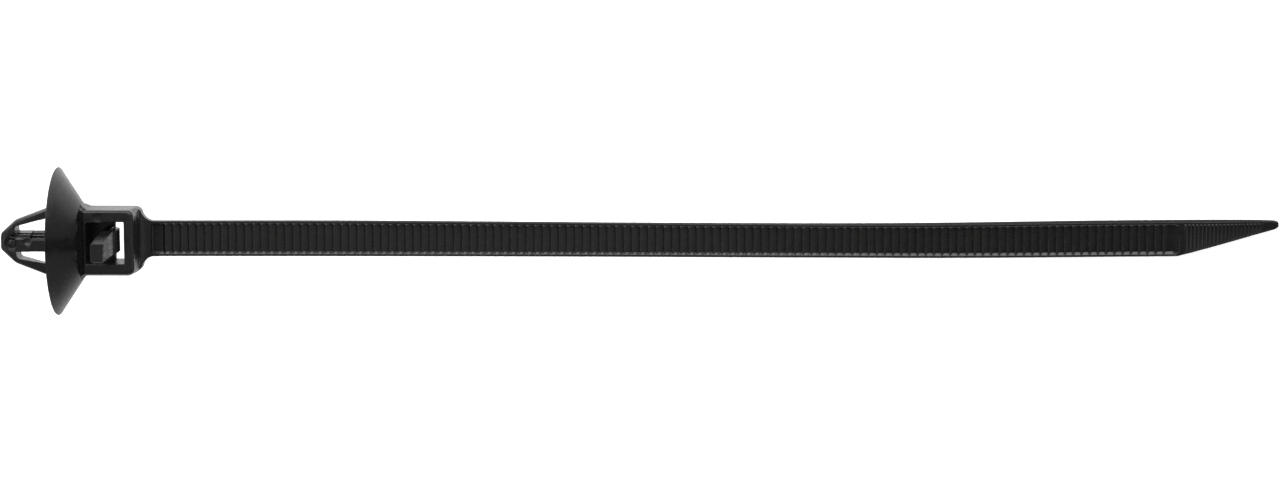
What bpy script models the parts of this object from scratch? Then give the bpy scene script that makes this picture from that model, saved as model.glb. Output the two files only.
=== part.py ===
"""Arrowhead push-mount cable tie: one moulding in black nylon.

An arrowhead anchor with two springy barbs goes through a panel hole, a dished
disc presses on the panel, a square head holds the locking pawl with its long
release tab, and a toothed strap leaves the far side of the head and ends in a
tapered, ribbed tail.

Head frame, in millimetres: U runs along the strap from the disc's rim plane
(the anchor is at negative U), V runs across the strap, and W points out of the
toothed side. The disc's and anchor's common axis is V = W = 0.

The tie lies as it comes to rest, toothed side up, on the disc's rim and on the
flat of its tail. World frame: metres, +Z up, strap along +X, origin at the
bottom centre of its box.
"""

import math

import bmesh
import bpy
from mathutils import Matrix, Vector

MM = 0.001

# Disc: a shallow cup that opens towards the anchor
DISC_RADIUS = 9.5
DISC_LAND = 0.85  # width of the flat ring that bears on the panel
DISC_WALL = 0.75
DISC_RIM_U = 0.06
DISC_SMALL_U, DISC_SMALL_R = 3.12, 5.05
DISC_FLOOR_U = 2.4
DISC_SIDES = 72

# Anchor
NOSE_U, NOSE_R = -7.3, 1.2
NOSE_HALF_W, NOSE_SLOPE_U = 1.0, -6.75  # flat slopes on the front and back of the nose
FLANK_U, FLANK_R = -5.55, 2.75
BARB_END_U, BARB_END_R = -0.95, 4.45
ANCHOR_HALF_W = 1.7
SLOT_U, SLOT_LOW_U = -5.38, -5.16  # roots of the upper and the lower slot
SLOT_ROOT_V = 2.05
SLOT_SLOPE, SLOT_LEAN = 0.2216, 0.0323  # the barbs' inner faces lean, each the other way
# (v, w) down the upper front of the stem, mirrored through its axis for the other half:
# three slopes between steep walls, and one wide slope near the nose
STEM_STEPS = (
    (0.30, 1.67),
    (0.50, 1.47),
    (0.54, 0.62),
    (0.75, 0.41),
    (0.80, -0.5),
    (0.93, -0.63),
    (1.2, -1.67),
)
STEM_FLAT = ((0.40, 1.67), (0.92, 1.15), (0.95, 0.3), (1.05, 0.2), (1.21, -1.67))
STEM_FLAT_U = -3.45
GATE_U, GATE_V, GATE_R, GATE_DEPTH = -5.86, -0.13, 0.76, 0.26
DIMPLE_U, DIMPLE_V, DIMPLE_R, DIMPLE_DEPTH = -3.72, 0.26, 0.5, 0.1

# Head
HEAD_U0, HEAD_U1 = 3.42, 10.12
HEAD_HALF_V = 4.2
HEAD_W0, HEAD_W1 = -3.5, 2.3
HEAD_FILLET = 0.33
HEAD_END_FILLET = 0.52
HEAD_CORNER = 0.85  # round corners at the strap's end, squarer towards the back
HEAD_BACK_CORNER = 0.42
BOSS_W0, BOSS_W1 = -2.9, 1.75  # joins the head to the disc
BOSS_CORNER = 0.5
BOSS_SECTIONS = (  # (u, how far it stands out beyond the head's sides)
    (2.2, 0.90),
    (2.98, 0.88),
    (3.2, 0.64),
    (3.4, 0.41),
    (3.6, 0.24),
    (3.85, 0.10),
    (4.2, 0.0),
    (4.45, -0.03),
)
WINDOW_U0, WINDOW_U1 = 3.87, 8.88
WINDOW_HALF_V = 2.71
WEB_THICK = 0.8  # floor of the window that carries the pawl's hinge
CHANNEL_U0 = 6.92
MARK_U, MARK_V, MARK_R, MARK_DEPTH = 5.5, 3.3, 0.6, 0.07  # shallow round mark on the head

# Pawl and release tab: (w, u of the back, u of the strap side, half width, corner)
PAWL_STATIONS = (
    (-3.2, 6.05, 6.80, 1.68, 0.12),
    (-2.2, 5.76, 6.86, 1.60, 0.15),
    (2.0, 5.75, 6.90, 1.47, 0.15),
    (2.45, 5.80, 7.52, 1.46, 0.15),
    (8.0, 6.00, 7.68, 1.40, 0.18),
    (11.6, 6.25, 7.86, 1.27, 0.22),
    (11.9, 6.40, 7.76, 1.17, 0.18),
)
PAWL_TIPS_U = (7.72, 7.84, 7.78, 7.70)  # tips of the saw teeth from the hinge outwards
PAWL_TOOTH_RISE = 0.42
PAWL_TOOTH_HALF_V, PAWL_TOOTH_CHAMFER = 1.5, 0.3
PAWL_TOOTH_W0 = -2.3

# Strap
STRAP_HALF_V = 2.275
STRAP_FRONT_W, STRAP_BACK_W = -2.28, -3.46
NECK_U = 12.0  # where the neck's fillets reach the strap
NECK_FILLET_V, NECK_FILLET_W = 1.6, 1.1
RAIL = 0.30
RAIL_SLOPE = 0.34
TOOTH_PITCH = 1.038
TOOTH_COUNT = 124
TOOTH_START_U = 13.17
TOOTH_DEPTH, TOOTH_CREST = 0.42, 0.13  # both below the rails
TOOTH_RISER = 0.24
RECESS_U0, RECESS_U1 = 11.6, 143.15  # both ends of the sunk band between the rails
RECESS_CORNER = 0.42
PATCH_U1 = 143.9
RIB_PITCH, RIB_HEIGHT = 0.485, 0.16
RIB_COUNT = 20
RIB_RAIL = 0.16  # the ribs run closer to the lower edge than the teeth
TAPER_U, TAPER_SLOPE = 142.55, 0.281
TIP_U = 155.6
TIP_THICK = 0.72

# Set of the strap, and how the tie rests
TWIST_DEG = 11.0
TWIST_U0, TWIST_U1 = 66.0, 130.0
BOW = 0.31  # sideways, towards -V, most at BOW_MOST_U
BOW_U0, BOW_MOST_U, BOW_U1 = 22.0, 107.0, 147.0
WAIST = 0.13  # the strap's edges draw in by this much between WAIST_U1 and WAIST_U2
WAIST_U0, WAIST_U1, WAIST_U2, WAIST_U3 = 22.0, 85.0, 95.0, 133.0
STRAP_MID_W = (STRAP_FRONT_W + STRAP_BACK_W) / 2

BLACK_NYLON = (0.016, 0.016, 0.0155, 1.0)


def clear_scene():
    for obj in list(bpy.data.objects):
        bpy.data.objects.remove(obj, do_unlink=True)
    for mesh in list(bpy.data.meshes):
        bpy.data.meshes.remove(mesh)


def nylon():
    material = bpy.data.materials.new("black_nylon")
    material.use_nodes = True
    shader = material.node_tree.nodes["Principled BSDF"]
    shader.inputs["Base Color"].default_value = BLACK_NYLON
    shader.inputs["Roughness"].default_value = 0.42
    shader.inputs["Metallic"].default_value = 0.0
    return material


def solid(name, points, faces, helper=True):
    """A mesh object from points in head-frame millimetres."""
    mesh = bpy.data.meshes.new(name)
    mesh.from_pydata([Vector(p) * MM for p in points], [], faces)
    made = bmesh.new()
    made.from_mesh(mesh)
    bmesh.ops.recalc_face_normals(made, faces=made.faces)
    made.to_mesh(mesh)
    made.free()
    obj = bpy.data.objects.new(name, mesh)
    bpy.context.scene.collection.objects.link(obj)
    if helper:
        obj.hide_render = True
        obj.display_type = "WIRE"
    return obj


def lathe(name, profile, sides):
    """A solid turned about the U axis from (u, r) points that start and end on the axis."""
    points, rings = [], []
    for u, r in profile:
        if r == 0:
            rings.append([len(points)])
            points.append((u, 0, 0))
        else:
            first = len(points)
            for i in range(sides):
                angle = math.tau * (i + 0.5) / sides
                points.append((u, r * math.cos(angle), r * math.sin(angle)))
            rings.append(list(range(first, first + sides)))
    faces = []
    for a, b in zip(rings[:-1], rings[1:]):
        for i in range(sides):
            j = (i + 1) % sides
            if len(a) == 1:
                faces.append((a[0], b[i], b[j]))
            elif len(b) == 1:
                faces.append((a[i], b[0], a[j]))
            else:
                faces.append((a[i], b[i], b[j], a[j]))
    return solid(name, points, faces)


def loft(name, sections):
    """A closed solid through sections of equal point count, capped at both ends."""
    count = len(sections[0])
    points = [p for section in sections for p in section]
    faces = [tuple(range(count)), tuple(range(len(points) - count, len(points)))]
    for s in range(len(sections) - 1):
        a, b = s * count, (s + 1) * count
        for i in range(count):
            j = (i + 1) % count
            faces.append((a + i, a + j, b + j, b + i))
    return solid(name, points, faces)


def prism_uv(name, outline, w0, w1):
    return loft(name, [[(u, v, w) for u, v in outline] for w in (w0, w1)])


def prism_uw(name, outline, v0, v1):
    return loft(name, [[(u, v, w) for u, w in outline] for v in (v0, v1)])


def prism_vw(name, outline, u0, u1):
    return loft(name, [[(u, v, w) for v, w in outline] for u in (u0, u1)])


def box(name, low, high):
    (u0, v0, w0), (u1, v1, w1) = low, high
    return prism_uv(name, [(u0, v0), (u1, v0), (u1, v1), (u0, v1)], w0, w1)


def arc(centre, radius, start, end, steps):
    """Points on an arc, angles in degrees."""
    return [
        (
            centre[0] + radius * math.cos(math.radians(start + (end - start) * i / steps)),
            centre[1] + radius * math.sin(math.radians(start + (end - start) * i / steps)),
        )
        for i in range(steps + 1)
    ]


def rounded(points, radii, steps):
    """The closed outline with each corner turned into an arc of its own radius."""
    out, count = [], len(points)
    for i in range(count):
        p = Vector(points[i])
        a = (Vector(points[i - 1]) - p).normalized()
        b = (Vector(points[(i + 1) % count]) - p).normalized()
        if radii[i] <= 0:
            out.append(tuple(p))
            continue
        half = a.angle(b) / 2
        centre = p + (a + b).normalized() * (radii[i] / math.sin(half))
        start = p + a * (radii[i] / math.tan(half)) - centre
        end = p + b * (radii[i] / math.tan(half)) - centre
        for k in range(steps + 1):
            out.append(tuple(centre + start.lerp(end, k / steps).normalized() * radii[i]))
    return out


def boolean(obj, other, operation):
    modifier = obj.modifiers.new(other.name, "BOOLEAN")
    modifier.object = other
    modifier.operation = operation
    modifier.solver = "EXACT"
    return obj


def make_disc():
    """The dished disc: flat land, thin rim, conical wall, small end under the head."""
    rim_u, rim_r = DISC_RIM_U, DISC_RADIUS - 0.02
    du, dr = DISC_SMALL_U - 0.1 - rim_u, DISC_SMALL_R + 0.08 - rim_r
    length = math.hypot(du, dr)
    # the inside runs parallel to the outside, one wall thickness in
    off_u, off_r = dr / length * DISC_WALL, -du / length * DISC_WALL
    land_r = DISC_RADIUS - 0.1 - DISC_LAND
    in_u = DISC_FLOOR_U - 0.12
    in_r = rim_r + off_r + dr * (in_u - rim_u - off_u) / du
    profile = [
        (DISC_FLOOR_U, 0),
        (DISC_FLOOR_U, in_r - 0.25),
        (in_u, in_r),
        (0.0, land_r),
        (0.0, DISC_RADIUS - 0.1),
        (DISC_RIM_U / 2, DISC_RADIUS),
        (rim_u, rim_r),
        (DISC_SMALL_U - 0.1, DISC_SMALL_R + 0.08),
        (DISC_SMALL_U, DISC_SMALL_R - 0.1),
        (DISC_SMALL_U + 0.02, 3.6),
        (DISC_SMALL_U + 0.02, 0),
    ]
    return lathe("cable_tie", profile, DISC_SIDES)


def smooth(t):
    t = min(max(t, 0.0), 1.0)
    return t * t * (3 - 2 * t)


def head_outline(w, in_u0=0.0, in_u1=0.0, in_v=0.0):
    u0, u1, v = HEAD_U0 + in_u0, HEAD_U1 - in_u1, HEAD_HALF_V - in_v
    corner = HEAD_BACK_CORNER + (HEAD_CORNER - HEAD_BACK_CORNER) * smooth((w + 1.4) / 3.0)
    corner = max(corner - in_v * 0.6, 0.2)
    outline = rounded([(u0, -v), (u1, -v), (u1, v), (u0, v)], [0, corner, corner, 0], 4)
    return [(u, v, w) for u, v in outline]


def make_head():
    """The block, its front and back edges rounded."""
    r, end_r = HEAD_FILLET, HEAD_END_FILLET
    sections = []
    for degrees in (0, 30, 60, 90):
        t = math.radians(degrees)
        bite = r * (1 - math.sin(t))
        sections.append(head_outline(HEAD_W0 + r * (1 - math.cos(t)), bite, bite, bite))
    sections += [head_outline(w) for w in (-1.4, -0.4, 0.3, 1.1, 1.6)]
    for degrees in (0, 30, 60, 90):
        t = math.radians(degrees)
        bite = 1 - math.cos(t)
        w = HEAD_W1 - 0.4 * (1 - math.sin(t))
        sections.append(head_outline(w, r * bite, end_r * bite, r * bite))
    return loft("head_block", sections)


def make_head_root():
    """The boss that joins the head to the disc, a little shallower than the head, with
    concave fillets above and below."""
    sections = []
    for u, out in BOSS_SECTIONS:
        v, w0, w1 = HEAD_HALF_V + out, BOSS_W0, BOSS_W1
        corner = BOSS_CORNER + 0.6 * max(out, 0)
        ring = []
        for cv, cw, start in (
            (v - corner, w1 - corner, 0),
            (-v + corner, w1 - corner, 90),
            (-v + corner, w0 + corner, 180),
            (v - corner, w0 + corner, 270),
        ):
            ring += arc((cv, cw), corner, start, start + 90, 3)
        # nothing stands out beyond the disc's small end
        limit = [min(1.0, (DISC_SMALL_R - 0.02) / math.hypot(a, b)) for a, b in ring]
        sections.append([(u, a * k, b * k) for (a, b), k in zip(ring, limit)])
    return loft("head_root", sections)


def make_neck():
    """The strap's root: concave fillets in plan and in thickness, as two crossed prisms."""
    r = NECK_FILLET_V
    corner = [(HEAD_U1 - 0.7, 4.1), (HEAD_U1 - 0.2, 4.02), (HEAD_U1, 3.96)]
    corner += [(HEAD_U1 + 0.08, 3.89), (HEAD_U1 + 0.16, 3.78)]
    plan = [(u, -v) for u, v in corner]
    plan += arc((NECK_U, -STRAP_HALF_V - r), r, 170, 90, 7)
    plan += [(NECK_U + 0.6, -STRAP_HALF_V), (NECK_U + 0.6, STRAP_HALF_V)]
    plan += arc((NECK_U, STRAP_HALF_V + r), r, 270, 190, 7)
    plan += reversed(corner)
    side_r = NECK_FILLET_W
    side = [(HEAD_U1 - 0.7, STRAP_BACK_W), (NECK_U + 0.9, STRAP_BACK_W)]
    side += [(NECK_U + 0.9, STRAP_FRONT_W)]
    side += arc(
        (HEAD_U1 + side_r - 0.04, STRAP_FRONT_W + side_r), side_r, 270, 180, 5
    )
    side += [(HEAD_U1 - 0.7, STRAP_FRONT_W + side_r + 0.1)]
    neck = prism_uv("neck", plan, -4.2, 1.0)
    boolean(neck, prism_uw("neck_side", side, -4.4, 4.4), "INTERSECT")
    # the strap's sunk band starts on the neck
    u, v = RECESS_U0 - 0.04, STRAP_HALF_V - RAIL - 0.02
    band = rounded([(u, -v), (14.0, -v), (14.0, v), (u, v)], [0.3, 0, 0, 0.3], 3)
    deep = STRAP_FRONT_W - TOOTH_DEPTH - 0.12
    return boolean(neck, prism_uv("neck_band", band, deep, 1.4), "DIFFERENCE")


def pawl_section(w, u0, u1, half_v, corner):
    c = corner
    return [
        (u0, -half_v + c, w),
        (u0 + c, -half_v, w),
        (u1 - c, -half_v, w),
        (u1, -half_v + c, w),
        (u1, half_v - c, w),
        (u1 - c, half_v, w),
        (u0 + c, half_v, w),
        (u0, half_v - c, w),
    ]


def make_pawl():
    return loft("pawl", [pawl_section(*station) for station in PAWL_STATIONS])


def make_pawl_teeth():
    """Saw teeth that face the strap; their steep sides stop it from slipping back."""
    profile = [(6.5, PAWL_TOOTH_W0)]
    for i, tip in enumerate(PAWL_TIPS_U):
        w = PAWL_TOOTH_W0 + i * TOOTH_PITCH
        profile += [(tip - PAWL_TOOTH_RISE, w), (tip, w + TOOTH_PITCH - 0.16)]
    end_w = PAWL_TOOTH_W0 + len(PAWL_TIPS_U) * TOOTH_PITCH
    profile += [(PAWL_TIPS_U[-1] - PAWL_TOOTH_RISE, end_w)]
    tip = max(PAWL_TIPS_U)
    profile += [(6.5, end_w + 0.45)]
    teeth = prism_uw("pawl_teeth", profile, -PAWL_TOOTH_HALF_V, PAWL_TOOTH_HALF_V)
    c, h = PAWL_TOOTH_CHAMFER, PAWL_TOOTH_HALF_V
    plan = [(6.2, -h - 0.1), (tip - c, -h - 0.1), (tip + 0.1, -h + c), (tip + 0.1, h - c)]
    plan += [(tip - c, h + 0.1), (6.2, h + 0.1)]
    return boolean(teeth, prism_uv("pawl_teeth_plan", plan, -4.0, 4.0), "INTERSECT")


def barb_opening(w, end=0.2):
    """The opening between the barbs at depth w."""
    def inner(side):
        return SLOT_ROOT_V + (SLOT_SLOPE + side * SLOT_LEAN * w) * (end - SLOT_U)

    outline = [(SLOT_LOW_U, -SLOT_ROOT_V), (end, -inner(-1)), (end, inner(1)), (SLOT_U, SLOT_ROOT_V)]
    return [(u, v, w) for u, v in rounded(outline, [0.5, 0, 0, 0.36], 4)]


def make_anchor():
    """Nose and barbs: a turned arrowhead cut to a flat slab, then opened between the barbs."""
    profile = [
        (NOSE_U, 0),
        (NOSE_U, NOSE_R - 0.05),
        (NOSE_U + 0.09, NOSE_R + 0.05),
        (FLANK_U - 0.2, FLANK_R - 0.18),
        (FLANK_U + 0.3, FLANK_R + 0.15),
        (BARB_END_U - 0.12, BARB_END_R),
        (BARB_END_U, BARB_END_R - 0.1),
        (BARB_END_U, 0),
    ]
    anchor = lathe("anchor", profile, 48)
    w, nose_w = ANCHOR_HALF_W, NOSE_HALF_W
    slab = [(NOSE_U - 0.1, -nose_w), (NOSE_U, -nose_w), (NOSE_SLOPE_U, -w), (0.5, -w)]
    slab += [(u, -w1) for u, w1 in reversed(slab)]
    boolean(anchor, prism_uw("anchor_slab", slab, -6, 6), "INTERSECT")
    boolean(anchor, loft("barb_opening", [barb_opening(-2.4), barb_opening(2.4)]), "DIFFERENCE")
    # the stem's upper slope runs out on the nose in a pointed notch
    start = [(0.97, 1.69), (1.0, 1.66), (1.02, 2.0), (0.97, 2.0)]
    end = [(0.40, 1.71), (0.98, 1.12), (1.12, 2.0), (0.40, 2.0)]
    notch = [[(u, v, w) for v, w in ring] for u, ring in ((-6.25, start), (-5.2, end))]
    return boolean(anchor, loft("nose_notch", notch), "DIFFERENCE")


def make_stem():
    """The stem between the barbs: stepped along its upper front and lower back."""
    steps, flat = (list(half) + [(-v, -w) for v, w in half] for half in (STEM_STEPS, STEM_FLAT))
    stem = prism_vw("stem", steps, STEM_FLAT_U - 0.15, DISC_FLOOR_U + 0.3)
    return boolean(stem, prism_vw("stem_flat", flat, SLOT_U - 0.4, STEM_FLAT_U), "UNION")


def strap_edges(u):
    """Lower and upper edge of the strap at u."""
    waist = WAIST * smooth((u - WAIST_U0) / (WAIST_U1 - WAIST_U0))
    waist *= smooth((WAIST_U3 - u) / (WAIST_U3 - WAIST_U2))
    low, high = -STRAP_HALF_V + waist, STRAP_HALF_V - waist
    start = TAPER_U + 0.55
    if u > TAPER_U:
        if u < start:  # rounded start of the taper
            t = (u - TAPER_U) / (start - TAPER_U)
            low += TAPER_SLOPE * (start - TAPER_U) * t * t * 0.5
        else:
            low += TAPER_SLOPE * ((start - TAPER_U) * 0.5 + u - start)
    if u > 150.5:
        high -= 0.004 * (u - 150.5) ** 2
    return low, high


def strap_section(u, centre_w, front_w=STRAP_FRONT_W, close=0.0, low_rail=RAIL):
    """Eight points round the strap, twisted about its own middle and slightly bowed."""
    low, high = strap_edges(u)
    width = high - low
    rail = min(RAIL, 0.16 * width)
    low_rail = min(low_rail, 0.16 * width)
    slope = min(RAIL_SLOPE, 0.16 * width)
    ring = [
        (low, front_w),
        (low + low_rail + close, front_w),
        (low + low_rail + slope + close, centre_w),
        (high - rail - slope - close, centre_w),
        (high - rail - close, front_w),
        (high, front_w),
        (high, STRAP_BACK_W),
        (low, STRAP_BACK_W),
    ]
    turn = math.radians(TWIST_DEG) * smooth((u - TWIST_U0) / (TWIST_U1 - TWIST_U0))
    c, s = math.cos(turn), math.sin(turn)
    bow = BOW * smooth((u - BOW_U0) / (BOW_MOST_U - BOW_U0))
    bow *= smooth((BOW_U1 - u) / (BOW_U1 - BOW_MOST_U))
    return [
        (u, v * c - (w - STRAP_MID_W) * s - bow, STRAP_MID_W + v * s + (w - STRAP_MID_W) * c)
        for v, w in ring
    ]


def tip_section(u, share):
    """A section near the tip, shrunk about the tip's middle so that the end is round."""
    ring = strap_section(u, STRAP_BACK_W + TIP_THICK, STRAP_BACK_W + TIP_THICK)
    middle = [sum(p[i] for p in ring) / 8 for i in range(3)]
    return [
        (u, middle[1] + (v - middle[1]) * share, middle[2] + (w - middle[2]) * (0.4 + 0.6 * share))
        for _, v, w in ring
    ]


def tail_front(u):
    """The tail thins towards its tip."""
    t = smooth((u - 146.0) / (TIP_U - 146.0))
    return STRAP_FRONT_W + (STRAP_BACK_W + TIP_THICK - STRAP_FRONT_W) * t


def make_strap():
    floor = STRAP_FRONT_W - TOOTH_DEPTH
    crest = STRAP_FRONT_W - TOOTH_CREST
    fall = crest - floor
    stations = [(RECESS_U0 - 0.25, STRAP_FRONT_W), (RECESS_U0 - 0.03, STRAP_FRONT_W - 0.02)]
    stations += [(RECESS_U0 + 0.22, floor - 0.02), (TOOTH_START_U - 0.3, floor + 0.14)]
    for i in range(TOOTH_COUNT):
        u = TOOTH_START_U + i * TOOTH_PITCH
        stations += [(u, floor), (u + TOOTH_RISER, crest)]
    last = TOOTH_START_U + TOOTH_COUNT * TOOTH_PITCH
    stations += [(last + 0.1, floor)]
    sections = [strap_section(u, w) for u, w in stations]
    # the sunk band ends in two round corners
    for degrees in (0, 50, 90):
        t = math.radians(degrees)
        u = RECESS_U1 - RECESS_CORNER * (1 - math.sin(t))
        ramp = (u - last - 0.1) / (RECESS_U1 - last - 0.1)
        sections.append(strap_section(u, floor + (fall + 0.02) * ramp, close=RECESS_CORNER * (1 - math.cos(t))))
    sections.append(strap_section(RECESS_U1 + 0.06, STRAP_FRONT_W - 0.02))
    sections.append(strap_section(TAPER_U + 1.0, STRAP_FRONT_W - 0.02))
    sections.append(strap_section(PATCH_U1 - 0.15, STRAP_FRONT_W - 0.02))
    for i in range(RIB_COUNT):
        u = PATCH_U1 + i * RIB_PITCH
        for share, height in ((0.1, 0.0), (0.45, 1.0), (0.76, 0.0)):
            at = u + RIB_PITCH * share
            front = tail_front(at)
            sections.append(strap_section(at, front - RIB_HEIGHT * (1 - height) - 0.001, front, low_rail=RIB_RAIL))
    after = PATCH_U1 + RIB_COUNT * RIB_PITCH
    sections.append(strap_section(after, tail_front(after) - 0.04, tail_front(after)))
    sections.append(strap_section(TIP_U - 1.0, tail_front(TIP_U - 1.0), tail_front(TIP_U - 1.0)))
    sections.append(tip_section(TIP_U - 0.45, 0.95))
    sections.append(tip_section(TIP_U - 0.15, 0.72))
    sections.append(tip_section(TIP_U, 0.32))
    return loft("strap", sections)


def rest_frame():
    """The turn that lays the tie down: the tail flat, the disc's rim on the ground."""
    turn = math.radians(TWIST_DEG)
    back = STRAP_MID_W * math.cos(turn) - (STRAP_MID_W - STRAP_BACK_W)
    pitch = math.atan((DISC_RADIUS + back) / (TIP_U - 0.8))
    return Matrix.Rotation(pitch, 4, "Y") @ Matrix.Rotation(-turn, 4, "X")


def main():
    clear_scene()
    tie = make_disc()
    tie.hide_render = False
    tie.display_type = "TEXTURED"
    tie.data.materials.append(nylon())

    boolean(tie, make_head(), "UNION")
    boolean(tie, make_head_root(), "UNION")
    boolean(tie, make_neck(), "UNION")
    boolean(
        tie,
        box(
            "window",
            (WINDOW_U0, -WINDOW_HALF_V, HEAD_W0 + WEB_THICK),
            (WINDOW_U1, WINDOW_HALF_V, HEAD_W1 + 1.0),
        ),
        "DIFFERENCE",
    )
    boolean(
        tie,
        box(
            "strap_channel",
            (CHANNEL_U0, -WINDOW_HALF_V, HEAD_W0 - 1.0),
            (WINDOW_U1, WINDOW_HALF_V, HEAD_W0 + WEB_THICK + 0.5),
        ),
        "DIFFERENCE",
    )
    boolean(tie, make_pawl(), "UNION")
    boolean(tie, make_pawl_teeth(), "UNION")
    boolean(tie, make_stem(), "UNION")
    boolean(tie, make_anchor(), "UNION")
    for name, u, v, r, depth in (
        ("gate_mark", GATE_U, GATE_V, GATE_R, GATE_DEPTH),
        ("ejector_dimple", DIMPLE_U, DIMPLE_V, DIMPLE_R, DIMPLE_DEPTH),
        ("ejector_mark", MARK_U, MARK_V, MARK_R, MARK_DEPTH),
    ):
        face = HEAD_W1 if name == "ejector_mark" else ANCHOR_HALF_W
        outline = arc((u, v), r, 0, 360, 24)[:-1]
        boolean(tie, prism_uv(name, outline, face - depth, face + 0.7), "DIFFERENCE")
    boolean(tie, make_strap(), "UNION")

    # lay it down, then put the origin at the bottom centre of its box
    rest = bpy.data.objects.new("rest_frame", None)
    bpy.context.scene.collection.objects.link(rest)
    rest.matrix_world = rest_frame()
    for obj in list(bpy.data.objects):
        if obj is not rest:
            obj.parent = rest
    bpy.context.view_layer.update()
    made = tie.evaluated_get(bpy.context.evaluated_depsgraph_get())
    corners = [made.matrix_world @ v.co for v in made.data.vertices]
    low = [min(p[i] for p in corners) for i in range(3)]
    high = [max(p[i] for p in corners) for i in range(3)]
    rest.location = (-(low[0] + high[0]) / 2, -(low[1] + high[1]) / 2, -low[2])
    bpy.context.view_layer.update()
    tie.data.shade_smooth()
    tie.data.set_sharp_from_angle(angle=math.radians(30))


main()
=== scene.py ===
import math

import bmesh
import bpy
from mathutils import Matrix, Vector, noise


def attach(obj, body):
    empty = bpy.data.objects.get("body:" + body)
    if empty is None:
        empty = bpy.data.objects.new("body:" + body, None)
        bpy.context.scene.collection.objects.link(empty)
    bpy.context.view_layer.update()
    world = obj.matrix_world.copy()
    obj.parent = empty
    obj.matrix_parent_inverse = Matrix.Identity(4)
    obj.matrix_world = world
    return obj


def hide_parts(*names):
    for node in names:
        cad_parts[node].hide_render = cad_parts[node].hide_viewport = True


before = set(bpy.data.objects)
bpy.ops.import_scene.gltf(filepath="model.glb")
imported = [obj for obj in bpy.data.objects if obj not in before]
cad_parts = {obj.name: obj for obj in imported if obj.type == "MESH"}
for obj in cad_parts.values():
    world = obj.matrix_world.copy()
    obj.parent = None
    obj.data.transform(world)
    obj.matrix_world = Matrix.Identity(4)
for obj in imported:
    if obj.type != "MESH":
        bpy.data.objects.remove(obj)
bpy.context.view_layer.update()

# The detailed cable tie: one black nylon moulding, made in the head frame in millimetres.
# U runs along the strap from the disc's rim plane (the anchor is at negative U), V across
# the strap, W out of the toothed side. rest_matrix() lays it down as it comes to rest.

MM = 0.001

# Disc
DISC_RADIUS = 9.5
DISC_LAND = 0.85
DISC_WALL = 0.75
DISC_RIM_U = 0.06
DISC_SMALL_U, DISC_SMALL_R = 3.12, 5.05
DISC_FLOOR_U = 2.4
DISC_SIDES = 240

# Anchor
NOSE_U, NOSE_R = -7.3, 1.2
NOSE_HALF_W, NOSE_SLOPE_U = 1.0, -6.75
FLANK_U, FLANK_R = -5.55, 2.75
BARB_END_U, BARB_END_R = -0.95, 4.45
ANCHOR_HALF_W = 1.7
SLOT_U, SLOT_LOW_U = -5.38, -5.16
SLOT_ROOT_V = 2.05
SLOT_SLOPE, SLOT_LEAN = 0.2216, 0.0323  # the barbs' inner faces lean, each the other way
GATE_U, GATE_V, GATE_R, GATE_DEPTH = -5.86, -0.13, 0.76, 0.26
DIMPLE_U, DIMPLE_V, DIMPLE_R, DIMPLE_DEPTH = -3.72, 0.26, 0.58, 0.15

# Head
HEAD_U0, HEAD_U1 = 3.42, 10.12
HEAD_HALF_V = 4.2
HEAD_W0, HEAD_W1 = -3.5, 2.3
HEAD_FILLET = 0.33
HEAD_END_FILLET = 0.52
HEAD_CORNER = 0.85  # at the front; squarer towards the back
HEAD_BACK_CORNER = 0.42
BOSS_W0, BOSS_W1 = -2.9, 1.75
BOSS_CORNER = 0.5
BOSS_SECTIONS = (
    (2.2, 0.90), (2.98, 0.88), (3.09, 0.75), (3.2, 0.64), (3.3, 0.52), (3.4, 0.41), (3.5, 0.32),
    (3.6, 0.24), (3.72, 0.165), (3.85, 0.10), (4.02, 0.04), (4.2, 0.0), (4.45, -0.03),
)
WINDOW_U0, WINDOW_U1 = 3.87, 8.88
WINDOW_HALF_V = 2.71
WEB_THICK = 0.8
CHANNEL_U0 = 6.92
MARK_U, MARK_V, MARK_R, MARK_DEPTH = 5.5, 3.3, 0.6, 0.07

# Pawl and release tab: (w, u of the back, u of the strap side, half width)
PAWL_STATIONS = (
    (-3.2, 6.05, 6.80, 1.68),
    (-2.2, 5.76, 6.86, 1.60),
    (2.0, 5.75, 6.90, 1.47),
    (2.45, 5.80, 7.52, 1.46),
    (8.0, 6.00, 7.68, 1.40),
    (11.65, 6.25, 7.86, 1.27),
)
PAWL_END_W, PAWL_END_INSET = 11.9, 0.13
PAWL_TIPS_U = (7.72, 7.84, 7.78, 7.70)  # tips of the saw teeth from the hinge outwards
PAWL_TOOTH_RISE = 0.42
PAWL_TOOTH_HALF_V, PAWL_TOOTH_CHAMFER = 1.5, 0.3
PAWL_TOOTH_W0 = -2.3

# Strap
STRAP_HALF_V = 2.275
STRAP_FRONT_W, STRAP_BACK_W = -2.28, -3.46
NECK_U = 12.0
NECK_FILLET_V, NECK_FILLET_W = 1.6, 1.1
RAIL = 0.30
RAIL_SLOPE, RAIL_HIGH_SLOPE = 0.28, 0.16
TOOTH_PITCH = 1.038
TOOTH_COUNT = 124
TOOTH_START_U = 13.17
TOOTH_DEPTH, TOOTH_CREST = 0.42, 0.13
TOOTH_RISER = 0.24
RECESS_U0, RECESS_U1 = 11.6, 143.15  # both ends of the sunk band between the rails
PATCH_U1 = 143.9
RIB_PITCH, RIB_HEIGHT = 0.485, 0.16
RIB_COUNT = 20
TAPER_U, TAPER_SLOPE = 142.55, 0.281
TIP_U = 155.6
TIP_THICK = 0.72
TWIST_DEG = 11.0
TWIST_U0, TWIST_U1 = 66.0, 130.0
BOW = 0.31
BOW_U0, BOW_MOST_U, BOW_U1 = 22.0, 107.0, 147.0
WAIST = 0.13
WAIST_U0, WAIST_U1, WAIST_U2, WAIST_U3 = 22.0, 85.0, 95.0, 133.0
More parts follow.
